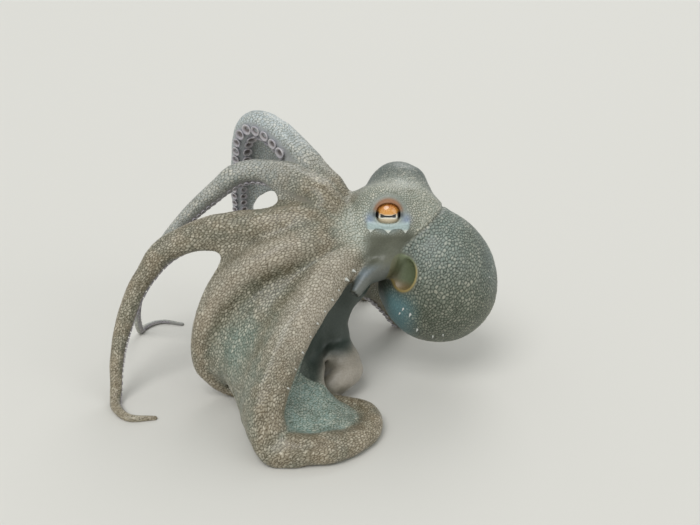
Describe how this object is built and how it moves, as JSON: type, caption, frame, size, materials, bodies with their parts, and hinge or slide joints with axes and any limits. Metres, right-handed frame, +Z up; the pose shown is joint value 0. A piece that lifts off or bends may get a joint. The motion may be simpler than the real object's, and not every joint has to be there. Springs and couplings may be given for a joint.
{
  "type": "octopus",
  "caption": "Life-size common octopus at rest, head raised over a round mantle sac, its webbed arms spread and curled on the floor.",
  "frame": {"origin": "centre of the bounding box's bottom face, on the plane that the arms rest on", "axes": "+Z up; the left side of the head looks along -Y; the arms spread towards -X and the mantle sac hangs on +X"},
  "size_m": [0.227, 0.2562, 0.1482],
  "materials": {
    "skin": "soft wet skin, matte with a faint sheen",
    "eye": "glossy, wet"
  },
  "bodies": {
    "root": {"arm_left_1_base": "skin", "arm_left_1_lower": "skin", "arm_left_1_tip": "skin", "arm_left_1_upper": "skin", "arm_left_2_base": "skin", "arm_left_2_lower": "skin", "arm_left_2_tip": "skin", "arm_left_2_upper": "skin", "arm_left_3_base": "skin", "arm_left_3_lower": "skin", "arm_left_3_tip": "skin", "arm_left_3_upper": "skin", "arm_left_4_base": "skin", "arm_left_4_lower": "skin", "arm_left_4_middle": "skin", "arm_left_4_tip": "skin", "arm_left_4_upper": "skin", "arm_right_1_base": "skin", "arm_right_1_lower": "skin", "arm_right_1_tip": "skin", "arm_right_1_upper": "skin", "arm_right_2_base": "skin", "arm_right_2_middle": "skin", "arm_right_2_tip": "skin", "arm_right_3_base": "skin", "arm_right_3_middle": "skin", "arm_right_3_tip": "skin", "arm_right_4_base": "skin", "arm_right_4_middle": "skin", "arm_right_4_tip": "skin", "crown": "skin", "eye_left": "eye", "eye_right": "eye", "funnel": "skin", "head": "skin", "mantle": "skin", "web_left_1_to_left_2": "skin", "web_left_2_to_left_3": "skin", "web_left_3_to_left_4": "skin", "web_left_4_to_right_4": "skin", "web_right_1_to_left_1": "skin", "web_right_2_to_right_1": "skin", "web_right_3_to_right_2": "skin", "web_right_4_to_right_3": "skin"}
  },
  "joints": []
}
